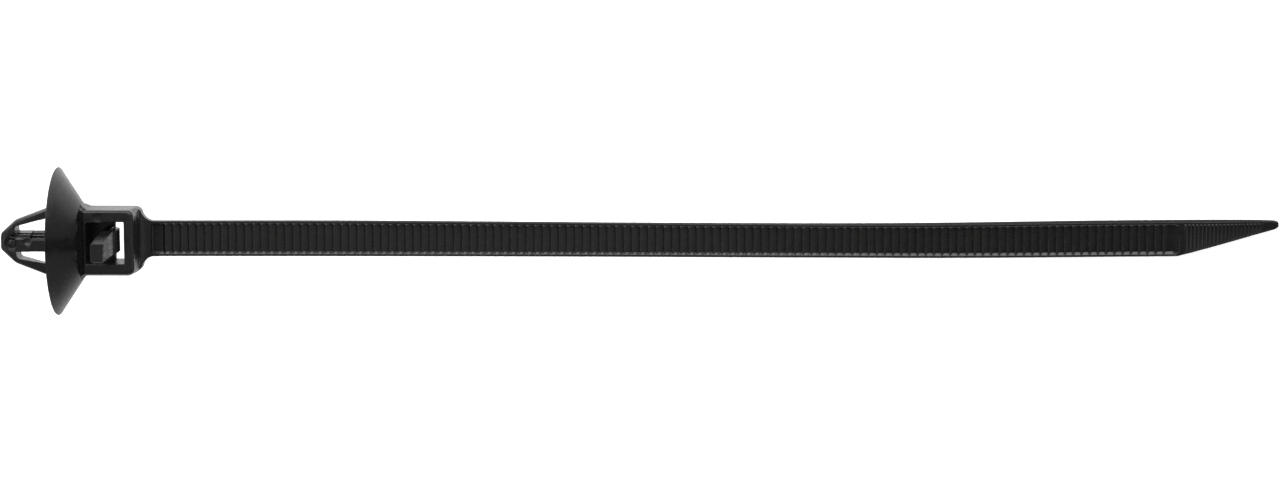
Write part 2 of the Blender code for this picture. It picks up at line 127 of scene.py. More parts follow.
STRAP_MID_W = (STRAP_FRONT_W + STRAP_BACK_W) / 2
REST_SHIFT = (-0.074018, 0.0, 0.009492)  # metres


def solid(name, points, faces):
    mesh = bpy.data.meshes.new(name)
    mesh.from_pydata([Vector(p) * MM for p in points], [], faces)
    made = bmesh.new()
    made.from_mesh(mesh)
    bmesh.ops.recalc_face_normals(made, faces=made.faces)
    made.to_mesh(mesh)
    made.free()
    obj = bpy.data.objects.new(name, mesh)
    bpy.context.scene.collection.objects.link(obj)
    HELPERS.append(obj)
    return obj


HELPERS = []


def turned(name, profile, sides, place=None):
    """A solid turned about the U axis from (u, r) points that start and end on the axis."""
    points, rings = [], []
    for u, r in profile:
        if r == 0:
            rings.append([len(points)])
            points.append((u, 0, 0))
        else:
            first = len(points)
            for i in range(sides):
                angle = math.tau * (i + 0.5) / sides
                points.append((u, r * math.cos(angle), r * math.sin(angle)))
            rings.append(list(range(first, first + sides)))
    faces = []
    for a, b in zip(rings[:-1], rings[1:]):
        for i in range(sides):
            j = (i + 1) % sides
            if len(a) == 1:
                faces.append((a[0], b[i], b[j]))
            elif len(b) == 1:
                faces.append((a[i], b[0], a[j]))
            else:
                faces.append((a[i], b[i], b[j], a[j]))
    if place:  # turn the axis from U to W and set the solid at (u, v)
        points = [(place[0] + b, place[1] + c, a) for a, b, c in points]
    return solid(name, points, faces)


def loft(name, sections):
    count = len(sections[0])
    points = [p for section in sections for p in section]
    faces = [tuple(range(count)), tuple(range(len(points) - count, len(points)))]
    for s in range(len(sections) - 1):
        a, b = s * count, (s + 1) * count
        for i in range(count):
            j = (i + 1) % count
            faces.append((a + i, a + j, b + j, b + i))
    return solid(name, points, faces)


def prism_uv(name, outline, w0, w1):
    return loft(name, [[(u, v, w) for u, v in outline] for w in (w0, w1)])


def prism_uw(name, outline, v0, v1):
    return loft(name, [[(u, v, w) for u, w in outline] for v in (v0, v1)])


def prism_vw(name, outline, u0, u1):
    return loft(name, [[(u, v, w) for v, w in outline] for u in (u0, u1)])


def arc(centre, radius, start, end, steps):
    return [
        (
            centre[0] + radius * math.cos(math.radians(start + (end - start) * i / steps)),
            centre[1] + radius * math.sin(math.radians(start + (end - start) * i / steps)),
        )
        for i in range(steps + 1)
    ]


def rounded(points, radii, steps):
    """The closed outline with each corner turned into an arc of its own radius."""
    out, count = [], len(points)
    for i in range(count):
        p = Vector(points[i])
        a = (Vector(points[i - 1]) - p).normalized()
        b = (Vector(points[(i + 1) % count]) - p).normalized()
        r = radii[i] if isinstance(radii, (list, tuple)) else radii
        if r <= 0:
            out.append(tuple(p))
            continue
        half = a.angle(b) / 2
        centre = p + (a + b).normalized() * (r / math.sin(half))
        start = p + a * (r / math.tan(half)) - centre
        end = p + b * (r / math.tan(half)) - centre
        for k in range(steps + 1):
            out.append(tuple(centre + start.lerp(end, k / steps).normalized() * r))
    return out


def boolean(obj, other, operation):
    modifier = obj.modifiers.new(other.name, "BOOLEAN")
    modifier.object = other
    modifier.operation = operation
    modifier.solver = "EXACT"
    return obj


def bevel(obj, width, segments, angle=35):
    modifier = obj.modifiers.new("bevel", "BEVEL")
    modifier.width = width * MM
    modifier.segments = segments
    modifier.limit_method = "ANGLE"
    modifier.angle_limit = math.radians(angle)
    modifier.use_clamp_overlap = True
    return obj


def smooth(t):
    t = min(max(t, 0.0), 1.0)
    return t * t * (3 - 2 * t)


def make_disc():
    rim_u, rim_r = DISC_RIM_U, DISC_RADIUS - 0.02
    du, dr = DISC_SMALL_U - 0.1 - rim_u, DISC_SMALL_R + 0.08 - rim_r
    length = math.hypot(du, dr)
    off_u, off_r = dr / length * DISC_WALL, -du / length * DISC_WALL
    land_r = DISC_RADIUS - 0.1 - DISC_LAND
    in_u = DISC_FLOOR_U - 0.12
    in_r = rim_r + off_r + dr * (in_u - rim_u - off_u) / du
    profile = [(DISC_FLOOR_U, 0), (DISC_FLOOR_U, in_r - 0.5)]
    profile += [(DISC_FLOOR_U - 0.01, in_r - 0.3), (DISC_FLOOR_U - 0.05, in_r - 0.12)]
    profile += [(in_u, in_r), (in_u - 0.1, in_r + 0.13)]
    profile += [(0.08, land_r - 0.1), (0.02, land_r - 0.03), (0.0, land_r + 0.05)]
    profile += [(0.0, DISC_RADIUS - 0.1), (0.008, DISC_RADIUS - 0.06)]
    profile += [(DISC_RIM_U / 3, DISC_RADIUS - 0.012), (DISC_RIM_U * 0.75, DISC_RADIUS)]
    profile += [(rim_u + 0.02, rim_r), (rim_u + du * 0.02, rim_r + dr * 0.02)]
    profile += [(rim_u + du * k, rim_r + dr * k) for k in (0.25, 0.5, 0.75, 0.97)]
    profile += [(DISC_SMALL_U - 0.075, DISC_SMALL_R + 0.035), (DISC_SMALL_U - 0.03, DISC_SMALL_R - 0.03)]
    profile += [(DISC_SMALL_U, DISC_SMALL_R - 0.12), (DISC_SMALL_U + 0.02, 3.6), (DISC_SMALL_U + 0.02, 0)]
    return turned("cable_tie_detail", profile, DISC_SIDES)


def head_outline(w, in_u0=0.0, in_u1=0.0, in_v=0.0):
    u0, u1, v = HEAD_U0 + in_u0, HEAD_U1 - in_u1, HEAD_HALF_V - in_v
    corner = HEAD_BACK_CORNER + (HEAD_CORNER - HEAD_BACK_CORNER) * smooth((w + 1.4) / 3.0)
    corner = max(corner - in_v * 0.6, 0.2)
    return rounded([(u0, -v), (u1, -v), (u1, v), (u0, v)], [0.12, corner, corner, 0.12], 10)


def make_head():
    steps, r, end_r = 6, HEAD_FILLET, HEAD_END_FILLET
    sections = []
    for k in range(steps + 1):
        t = math.radians(90 * k / steps)
        bite = 1 - math.sin(t)
        w = HEAD_W0 + r * (1 - math.cos(t))
        sections.append([(u, v, w) for u, v in head_outline(w, r * bite, r * bite, r * bite)])
    for k in range(12):
        w = -1.6 + 3.3 * k / 11
        sections.append([(u, v, w) for u, v in head_outline(w)])
    for k in range(steps + 1):
        t = math.radians(90 * k / steps)
        bite = 1 - math.cos(t)
        w = HEAD_W1 - 0.4 * (1 - math.sin(t))
        sections.append([(u, v, w) for u, v in head_outline(w, r * bite, end_r * bite, r * bite)])
    return loft("head_block", sections)


def make_head_root():
    sections = []
    for u, out in BOSS_SECTIONS:
        v = HEAD_HALF_V + out
        corner = BOSS_CORNER + 0.6 * max(out, 0)
        ring = rounded([(v, BOSS_W1), (-v, BOSS_W1), (-v, BOSS_W0), (v, BOSS_W0)], corner, 8)
        limit = [min(1.0, (DISC_SMALL_R - 0.02) / math.hypot(a, b)) for a, b in ring]
        sections.append([(u, a * k, b * k) for (a, b), k in zip(ring, limit)])
    return loft("head_root", sections)


def make_neck():
    r = NECK_FILLET_V
    corner = [(HEAD_U1 - 0.7, 4.1), (HEAD_U1 - 0.2, 4.02), (HEAD_U1, 3.96), (HEAD_U1 + 0.08, 3.89), (HEAD_U1 + 0.16, 3.78)]
    plan = [(u, -v) for u, v in corner]
    plan += arc((NECK_U, -STRAP_HALF_V - r), r, 170, 90, 20)
    plan += [(NECK_U + 0.6, -STRAP_HALF_V), (NECK_U + 0.6, STRAP_HALF_V)]
    plan += arc((NECK_U, STRAP_HALF_V + r), r, 270, 190, 20)
    plan += reversed(corner)
    side_r = NECK_FILLET_W
    side = [(HEAD_U1 - 0.7, STRAP_BACK_W), (NECK_U + 0.9, STRAP_BACK_W)]
    side += [(NECK_U + 0.9, STRAP_FRONT_W)]
    side += arc((HEAD_U1 + side_r - 0.04, STRAP_FRONT_W + side_r), side_r, 270, 180, 16)
    side += [(HEAD_U1 - 0.7, STRAP_FRONT_W + side_r + 0.1)]
    neck = prism_uv("neck", plan, -4.2, 1.0)
    boolean(neck, prism_uw("neck_side", side, -4.4, 4.4), "INTERSECT")
    deep, v0 = STRAP_FRONT_W - TOOTH_DEPTH - 0.12, STRAP_HALF_V - RAIL - 0.02
    band = rounded([(RECESS_U0 - 0.04, -v0), (14.0, -v0), (14.0, v0), (RECESS_U0 - 0.04, v0)], [0.3, 0, 0, 0.3], 5)
    return boolean(neck, prism_uv("neck_band", band, deep, 1.4), "DIFFERENCE")


def rim_sections(low, high, radius, w_bottom, w_rim, corner):
    """Sections of a cutter with upright walls whose upper end opens out in a rounded rim."""
    def ring(out, w):
        (u0, v0), (u1, v1) = low, high
        box = [(u0 - out, v0 - out), (u1 + out, v0 - out), (u1 + out, v1 + out), (u0 - out, v1 + out)]
        return [(u, v, w) for u, v in rounded(box, corner + out, 5)]
    sections = [ring(0.0, w_bottom)]
    for k in range(5):
        t = math.radians(80 * k / 4)
        sections.append(ring(radius * (1 - math.cos(t)), w_rim - radius * (1 - math.sin(t))))
    sections.append(ring(radius * 1.3, w_rim + 0.15))
    return sections


def make_window():
    return loft("window", rim_sections(
        (WINDOW_U0, -WINDOW_HALF_V), (WINDOW_U1, WINDOW_HALF_V), 0.09, HEAD_W0 + WEB_THICK, HEAD_W1, 0.12))


def make_channel():
    sections = rim_sections(
        (CHANNEL_U0, -WINDOW_HALF_V), (WINDOW_U1, WINDOW_HALF_V), 0.12, -(HEAD_W0 + WEB_THICK + 0.5), -HEAD_W0, 0.12)
    return loft("strap_channel", [[(u, v, -w) for u, v, w in ring] for ring in sections])


def pawl_ring(w, u0, u1, half_v, inset=0.0):
    u0, u1, half_v = u0 + inset, u1 - inset, half_v - inset
    box = [(u0, -half_v), (u1, -half_v), (u1, half_v), (u0, half_v)]
    back = max(0.34 - inset, 0.1) if w > 3.0 else 0.2
    return [(u, v, w) for u, v in rounded(box, [back, 0.12, 0.12, back], 6)]


def make_pawl():
    sections = []
    for a, b in zip(PAWL_STATIONS[:-1], PAWL_STATIONS[1:]):
        parts = max(1, round((b[0] - a[0]) / 0.8))
        for k in range(parts):
            t = k / parts
            sections.append(pawl_ring(*[p + (q - p) * t for p, q in zip(a, b)]))
    w, u0, u1, half_v = PAWL_STATIONS[-1]
    for k in range(6):
        t = math.radians(90 * k / 5)
        sections.append(
            pawl_ring(w + (PAWL_END_W - w) * math.sin(t), u0, u1, half_v, PAWL_END_INSET * (1 - math.cos(t))))
    return loft("pawl", sections)


def make_pawl_teeth():
    profile = [(6.5, PAWL_TOOTH_W0)]
    for i, tip in enumerate(PAWL_TIPS_U):
        w = PAWL_TOOTH_W0 + i * TOOTH_PITCH
        profile += [(tip - PAWL_TOOTH_RISE, w), (tip - 0.03, w + TOOTH_PITCH - 0.22)]
        profile += [(tip, w + TOOTH_PITCH - 0.18), (tip - 0.03, w + TOOTH_PITCH - 0.14)]
    end_w = PAWL_TOOTH_W0 + len(PAWL_TIPS_U) * TOOTH_PITCH
    profile += [(PAWL_TIPS_U[-1] - PAWL_TOOTH_RISE, end_w)]
    tip = max(PAWL_TIPS_U)
    profile += [(6.5, end_w + 0.45)]
    teeth = prism_uw("pawl_teeth", profile, -PAWL_TOOTH_HALF_V, PAWL_TOOTH_HALF_V)
    c, h = PAWL_TOOTH_CHAMFER, PAWL_TOOTH_HALF_V
    plan = [(6.2, -h - 0.1), (tip - c, -h - 0.1), (tip + 0.1, -h + c), (tip + 0.1, h - c)]
    plan += [(tip - c, h + 0.1), (6.2, h + 0.1)]
    plan = rounded(plan, [0, 0.15, 0.15, 0.15, 0.15, 0], 4)
    return boolean(teeth, prism_uv("pawl_teeth_plan", plan, -4.0, 4.0), "INTERSECT")


def barb_opening(w, end=0.2):
    """The opening between the barbs at depth w."""
    def inner(side):
        return SLOT_ROOT_V + (SLOT_SLOPE + side * SLOT_LEAN * w) * (end - SLOT_U)

    outline = [(SLOT_LOW_U, -SLOT_ROOT_V), (end, -inner(-1)), (end, inner(1)), (SLOT_U, SLOT_ROOT_V)]
    return [(u, v, w) for u, v in rounded(outline, [0.5, 0, 0, 0.36], 8)]


def make_anchor():
    profile = [
        (NOSE_U, 0),
        (NOSE_U, NOSE_R - 0.05),
        (NOSE_U + 0.02, NOSE_R),
        (NOSE_U + 0.09, NOSE_R + 0.06),
        (FLANK_U - 0.35, FLANK_R - 0.31),
        (FLANK_U - 0.1, FLANK_R - 0.09),
        (FLANK_U + 0.1, FLANK_R + 0.05),
        (FLANK_U + 0.4, FLANK_R + 0.19),
        (BARB_END_U - 0.2, BARB_END_R - 0.01),
        (BARB_END_U - 0.07, BARB_END_R),
        (BARB_END_U - 0.01, BARB_END_R - 0.05),
        (BARB_END_U, BARB_END_R - 0.14),
        (BARB_END_U, 0),
    ]
    anchor = turned("anchor", profile, 144)
    w, nose_w = ANCHOR_HALF_W, NOSE_HALF_W
    slab = [(NOSE_U - 0.1, -nose_w), (NOSE_U, -nose_w), (NOSE_SLOPE_U, -w), (0.5, -w)]
    slab += [(u, -w1) for u, w1 in reversed(slab)]
    boolean(anchor, prism_uw("anchor_slab", slab, -6, 6), "INTERSECT")
    boolean(anchor, loft("barb_opening", [barb_opening(-2.4 + 0.6 * k) for k in range(9)]), "DIFFERENCE")
    # the stem's upper slope runs out on the nose in a pointed notch
    start = [(0.97, 1.69), (1.0, 1.66), (1.02, 2.0), (0.97, 2.0)]
    end = [(0.40, 1.71), (0.98, 1.12), (1.12, 2.0), (0.40, 2.0)]
    notch = [[(u, v, w) for v, w in ring] for u, ring in ((-6.25, start), (-5.2, end))]
    boolean(anchor, loft("nose_notch", notch), "DIFFERENCE")
    return bevel(anchor, 0.07, 3, 38)


STEM_STEPS = (  # (v, w) down the upper front of the stem: three lit slopes between steep walls
    (0.30, 1.67), (0.50, 1.47), (0.54, 0.62), (0.75, 0.41), (0.80, -0.5), (0.93, -0.63), (1.2, -1.67))
STEM_FLAT = ((0.40, 1.67), (0.92, 1.15), (0.95, 0.3), (1.05, 0.2), (1.21, -1.67))


def make_stem():
    outlines = []
    for half in (STEM_STEPS, STEM_FLAT):
        points = list(half) + [(-a, -b) for a, b in half]
        radii = [0.04] * (len(half) - 1) + [0.1]
        outlines.append(rounded(points, radii + radii, 3))
    stem = prism_vw("stem", outlines[0], -3.6, DISC_FLOOR_U + 0.3)
    return boolean(stem, prism_vw("stem_flat", outlines[1], SLOT_U - 0.4, -3.45), "UNION")


def make_gate_recess():
    top, depth, r = ANCHOR_HALF_W, GATE_DEPTH, GATE_R
    profile = [(top - depth, 0), (top - depth, r - 0.14), (top - depth + 0.04, r - 0.04), (top - 0.07, r)]
    profile += [(top - 0.02, r + 0.02), (top + 0.01, r + 0.07), (top + 0.2, r + 0.2), (top + 0.2, 0)]
    return turned("gate_recess", profile, 48, (GATE_U, GATE_V))


def make_gate_stub():
    """The torn stub of the gate: a low, rough lump."""
    low = ANCHOR_HALF_W - GATE_DEPTH - 0.1
    profile = [(low, 0), (low, 0.53), (low + 0.13, 0.52), (low + 0.2, 0.45), (low + 0.25, 0.28), (low + 0.26, 0.12), (low + 0.265, 0)]
    stub = turned("gate_stub", profile, 32, (GATE_U + 0.1, GATE_V))
    for vertex in stub.data.vertices:
        p = vertex.co / MM
        if p.z > low + 0.1:
            rough = noise.noise(p * 4.2 + Vector((3.1, 7.7, 1.9)))
            fine = noise.noise(p * 11.0 + Vector((8.4, 2.2, 5.0)))
            vertex.co += Vector((0.03 * fine, 0.03 * rough, 0.05 * rough + 0.015 * fine)) * MM
    return stub


def make_dimple():
    sphere = (DIMPLE_R ** 2 + DIMPLE_DEPTH ** 2) / (2 * DIMPLE_DEPTH)
    centre = ANCHOR_HALF_W - 0.03 - DIMPLE_DEPTH + sphere
    reach = DIMPLE_R * 1.3
    profile = [(centre - sphere, 0)]
    for k in range(1, 9):
        r = reach * k / 8
        profile.append((centre - math.sqrt(sphere ** 2 - r ** 2), r))
    profile += [(ANCHOR_HALF_W + 0.4, reach), (ANCHOR_HALF_W + 0.4, 0)]
    return turned("dimple", profile, 40, (DIMPLE_U, DIMPLE_V))


def make_ejector_mark():
    top, d, r = HEAD_W1, MARK_DEPTH, MARK_R
    profile = [(top - d, 0), (top - d, r - 0.03), (top - d + 0.015, r), (top, r + 0.03), (top + 0.2, r + 0.06), (top + 0.2, 0)]
    return turned("ejector_mark", profile, 48, (MARK_U, MARK_V))


def strap_edges(u):
    waist = WAIST * smooth((u - WAIST_U0) / (WAIST_U1 - WAIST_U0))
    waist *= smooth((WAIST_U3 - u) / (WAIST_U3 - WAIST_U2))
    low, high = -STRAP_HALF_V + waist, STRAP_HALF_V - waist
    start = TAPER_U + 0.55
    if u > TAPER_U:
        if u < start:
            t = (u - TAPER_U) / (start - TAPER_U)
            low += TAPER_SLOPE * (start - TAPER_U) * t * t * 0.5
        else:
            low += TAPER_SLOPE * ((start - TAPER_U) * 0.5 + u - start)
    if u > 150.5:
        high -= 0.004 * (u - 150.5) ** 2
    return low, high


def strap_section(u, centre_w, front_w=STRAP_FRONT_W, close=0.0, low_rail=RAIL):
    """A ring round the strap with rounded outer edges, twisted and slightly bowed."""
    low, high = strap_edges(u)
    width = high - low
    rail = min(RAIL, 0.16 * width)
    low_rail = min(low_rail, 0.16 * width)
    slope = min(RAIL_SLOPE, 0.16 * width)
    high_slope = min(RAIL_HIGH_SLOPE, 0.16 * width)
    edge = min(0.09 * width, 0.3 * (front_w - STRAP_BACK_W))
    drop = 0.022 if front_w - centre_w > 0.02 else 0.0  # the rails are slightly crowned
    ring = [
        (low, front_w - drop),
        (low + low_rail * 0.55, front_w),
        (low + low_rail + close, front_w - drop),
        (low + low_rail + slope + close, centre_w),
        (high - rail - high_slope - close, centre_w),
        (high - rail - close, front_w - drop),
        (high - rail * 0.55, front_w),
        (high, front_w - drop),
        (high, STRAP_BACK_W),
        (low, STRAP_BACK_W),
    ]
    edge = min(edge, low_rail * 0.4)
    ring = rounded(ring, [min(edge, 0.13), 0, 0.03, 0, 0, 0.03, 0, min(edge, 0.05), min(edge, 0.1), min(edge, 0.1)], 3)
    turn = math.radians(TWIST_DEG) * smooth((u - TWIST_U0) / (TWIST_U1 - TWIST_U0))
    c, s = math.cos(turn), math.sin(turn)
    bow = BOW * smooth((u - BOW_U0) / (BOW_MOST_U - BOW_U0))
    bow *= smooth((BOW_U1 - u) / (BOW_U1 - BOW_MOST_U))
    return [
        (u, v * c - (w - STRAP_MID_W) * s - bow, STRAP_MID_W + v * s + (w - STRAP_MID_W) * c)
        for v, w in ring
    ]


def tip_section(u, share):
    ring = strap_section(u, STRAP_BACK_W + TIP_THICK, STRAP_BACK_W + TIP_THICK)
    middle = [sum(p[i] for p in ring) / len(ring) for i in range(3)]
    return [
        (u, middle[1] + (v - middle[1]) * share, middle[2] + (w - middle[2]) * (0.4 + 0.6 * share))
        for _, v, w in ring
    ]


def tail_front(u):
    t = smooth((u - 146.0) / (TIP_U - 146.0))
    return STRAP_FRONT_W + (STRAP_BACK_W + TIP_THICK - STRAP_FRONT_W) * t


def make_strap():
    floor = STRAP_FRONT_W - TOOTH_DEPTH
    crest = STRAP_FRONT_W - TOOTH_CREST
    fall = crest - floor
    stations = [(RECESS_U0 - 0.25, STRAP_FRONT_W), (RECESS_U0 - 0.03, STRAP_FRONT_W - 0.02)]
    stations += [(RECESS_U0 + 0.1, floor + 0.06), (RECESS_U0 + 0.22, floor - 0.02), (TOOTH_START_U - 0.3, floor + 0.14)]
    for i in range(TOOTH_COUNT):
        u = TOOTH_START_U + i * TOOTH_PITCH
        # each moulded tooth differs very slightly from its neighbours
        lift = 0.012 * noise.noise(Vector((i * 0.83, 4.2, 0.0)))
        stations += [
            (u - 0.05, floor + (fall * 0.055 if i else 0.14)),
            (u + 0.02, floor + 0.01),
            (u + TOOTH_RISER - 0.04, crest - 0.05 + lift),
            (u + TOOTH_RISER + 0.01, crest + lift),
            (u + TOOTH_RISER + 0.1, crest - fall * 0.1 + lift),
            (u + 0.64, floor + fall * 0.48 + lift * 0.5),
        ]
    last = TOOTH_START_U + TOOTH_COUNT * TOOTH_PITCH
    stations += [(last + 0.1, floor)]
    sections = [strap_section(u, w) for u, w in stations]
    # the sunk band ends in two round corners
    for share in (0.0, 0.5, 0.8, 1.0):
        u = RECESS_U1 - 0.42 + 0.42 * math.sin(math.radians(90 * share))
        close = 0.42 * (1 - math.cos(math.radians(90 * share)))
        ramp = (u - last - 0.1) / (RECESS_U1 - last - 0.1)
        sections.append(strap_section(u, floor + (fall + 0.02) * ramp, close=close))
    stations = [(RECESS_U1 + 0.06, STRAP_FRONT_W - 0.02)]
    stations += [(TAPER_U + 1.0 + 0.1 * k, STRAP_FRONT_W - 0.02) for k in range(1)]
    stations += [(PATCH_U1 - 0.2, STRAP_FRONT_W - 0.02), (PATCH_U1 - 0.12, STRAP_FRONT_W - 0.04)]
    sections += [strap_section(u, w) for u, w in stations]
    for i in range(RIB_COUNT):
        u = PATCH_U1 + i * RIB_PITCH
        for share, height in ((0.0, 0.0), (0.2, 0.05), (0.38, 0.85), (0.5, 1.0), (0.6, 0.85), (0.76, 0.05)):
            at = u + RIB_PITCH * share
            front = tail_front(at)
            sections.append(strap_section(at, front - RIB_HEIGHT * (1 - height), front, low_rail=0.16))
    after = PATCH_U1 + RIB_COUNT * RIB_PITCH
    sections.append(strap_section(after, tail_front(after) - 0.04, tail_front(after)))
    for u in (after + 0.3, TIP_U - 1.4, TIP_U - 1.0):
        sections.append(strap_section(u, tail_front(u), tail_front(u)))
    for back, share in ((0.6, 0.985), (0.42, 0.94), (0.28, 0.86), (0.16, 0.74), (0.07, 0.58), (0.02, 0.44), (0.0, 0.32)):
        sections.append(tip_section(TIP_U - back, share))
    return loft("strap", sections)


def rest_matrix():
    turn = math.radians(TWIST_DEG)
    back = STRAP_MID_W * math.cos(turn) - (STRAP_MID_W - STRAP_BACK_W)
    pitch = math.atan((DISC_RADIUS + back) / (TIP_U - 0.8))
    return (
        Matrix.Translation(REST_SHIFT)
        @ Matrix.Rotation(pitch, 4, "Y")
        @ Matrix.Rotation(-turn, 4, "X")
    )


def socket(node, name, value):
    node.inputs[name].default_value = value


def black_nylon():
    """Semi-matte moulded nylon: spark-eroded grain, flow mottling, dull patches and fine rubs."""
    material = bpy.data.materials.new("black_nylon_moulded")
    material.use_nodes = True
    nodes, links = material.node_tree.nodes, material.node_tree.links
    shader = nodes["Principled BSDF"]
    socket(shader, "Metallic", 0.0)
    socket(shader, "IOR", 1.42)
    socket(shader, "Specular IOR Level", 0.5)
    place = nodes.new("ShaderNodeTexCoord")

    def grain(scale, detail, rough, stretch=None):
        texture = nodes.new("ShaderNodeTexNoise")
        socket(texture, "Scale", scale)
        socket(texture, "Detail", detail)
        socket(texture, "Roughness", rough)
        source = place.outputs["Object"]
        if stretch:
            mapping = nodes.new("ShaderNodeMapping")
            socket(mapping, "Scale", stretch)
            links.new(source, mapping.inputs["Vector"])
            source = mapping.outputs["Vector"]
        links.new(source, texture.inputs["Vector"])
        return texture.outputs["Fac"]

    def ramp(source, stops):
        node = nodes.new("ShaderNodeValToRGB")
        elements = node.color_ramp.elements
        elements[0].position, elements[0].color = stops[0]
        elements[1].position, elements[1].color = stops[-1]
        for position, colour in stops[1:-1]:
            element = elements.new(position)
            element.color = colour
        links.new(source, node.inputs["Fac"])
        return node.outputs["Color"]

    def grey(value, warm=0.0):
        return (value * (1 + warm), value, value * (1 - warm), 1.0)

    flow = grain(210.0, 4.0, 0.55, (0.35, 1.0, 1.0))  # centimetre-wide flow mottling
    patch = grain(1400.0, 3.0, 0.6)
    rubs = grain(2600.0, 2.0, 0.5, (0.12, 1.0, 1.0))  # fine rubs along the strap
    erosion = grain(9000.0, 3.0, 0.65)

    # colour
    base = ramp(flow, [(0.3, grey(0.0085, 0.02)), (0.55, grey(0.0098, 0.035)), (0.75, grey(0.0112, 0.045))])
    speck = ramp(patch, [(0.35, grey(0.88)), (0.7, grey(1.12))])
    mix = nodes.new("ShaderNodeMix")
    mix.data_type, mix.blend_type = "RGBA", "MULTIPLY"
    socket(mix, "Factor", 1.0)
    links.new(base, mix.inputs[6])
    links.new(speck, mix.inputs[7])
    links.new(mix.outputs[2], shader.inputs["Base Color"])

    # roughness: mostly semi-matte, a little glossier where rubbed
    rough_a = ramp(patch, [(0.3, grey(0.22)), (0.7, grey(0.29))])
    rough_b = ramp(rubs, [(0.25, grey(0.86)), (0.5, grey(1.0)), (0.8, grey(1.08))])
    rough = nodes.new("ShaderNodeMath")
    rough.operation = "MULTIPLY"
    links.new(rough_a, rough.inputs[0])
    links.new(rough_b, rough.inputs[1])
    links.new(rough.outputs[0], shader.inputs["Roughness"])

    # surface: eroded grain and soft waviness
    fine = nodes.new("ShaderNodeBump")
    socket(fine, "Strength", 0.3)
    socket(fine, "Distance", 0.00003)
    links.new(erosion, fine.inputs["Height"])
    wavy = nodes.new("ShaderNodeBump")
    socket(wavy, "Strength", 0.12)
    socket(wavy, "Distance", 0.0001)
    links.new(patch, wavy.inputs["Height"])
    links.new(wavy.outputs["Normal"], fine.inputs["Normal"])
    links.new(fine.outputs["Normal"], shader.inputs["Normal"])
    return material


def make_tie():
    tie = make_disc()
    for operation, maker in (
        ("UNION", make_head),
        ("UNION", make_head_root),
        ("UNION", make_neck),
        ("DIFFERENCE", make_window),
        ("DIFFERENCE", make_channel),
        ("UNION", make_pawl),
        ("UNION", make_pawl_teeth),
        ("UNION", make_stem),
        ("UNION", make_anchor),
        ("DIFFERENCE", make_gate_recess),
        ("UNION", make_gate_stub),
        ("DIFFERENCE", make_dimple),
        ("DIFFERENCE", make_ejector_mark),
        ("UNION", make_strap),
    ):
        boolean(tie, maker(), operation)
    bpy.context.view_layer.update()
    mesh = bpy.data.meshes.new_from_object(tie.evaluated_get(bpy.context.evaluated_depsgraph_get()))
    for obj in HELPERS:
        if obj is not tie:
            bpy.data.objects.remove(obj, do_unlink=True)
    tie.modifiers.clear()
    tie.data = mesh
    mesh.name = "cable_tie_detail"
    made = bmesh.new()
    made.from_mesh(mesh)
    bmesh.ops.remove_doubles(made, verts=made.verts, dist=0.000002)
    bmesh.ops.dissolve_degenerate(made, dist=0.000001, edges=made.edges)
    bmesh.ops.triangulate(made, faces=[f for f in made.faces if len(f.verts) > 4])
    open_edges = [tuple(round(c / MM, 3) for c in e.verts[0].co) for e in made.edges if not e.is_manifold]
    made.transform(rest_matrix())
    made.to_mesh(mesh)
    triangles = sum(len(f.verts) - 2 for f in made.faces)
    made.free()
    print(f"tie: {triangles} triangles, not manifold at {open_edges}")
    mesh.shade_smooth()
    mesh.set_sharp_from_angle(angle=math.radians(32))
    normals = tie.modifiers.new("normals", "WEIGHTED_NORMAL")
    normals.keep_sharp = True
    normals.weight = 60
    mesh.materials.clear()
    mesh.materials.append(black_nylon())
    return tie


tie = make_tie()
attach(tie, "root")
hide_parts("cable_tie")


FLOOR_GLOW = 0.4
# the paper's grey for the eye, and for what the tie sees and mirrors a painted pool of light close to the head, fading
# to painted shade further off
FLOOR_SEEN, FLOOR_PAINTED_LIGHT_NEAR, FLOOR_PAINTED_SHADE_FAR = 0.9, 0.9, 0.22
TENT_BASE, TENT_TOP = 0.05, 0.47
TENT_KEY, TENT_FILL, TENT_END, TENT_HEAD = 5.6, 6.0, 0.4, 1.4


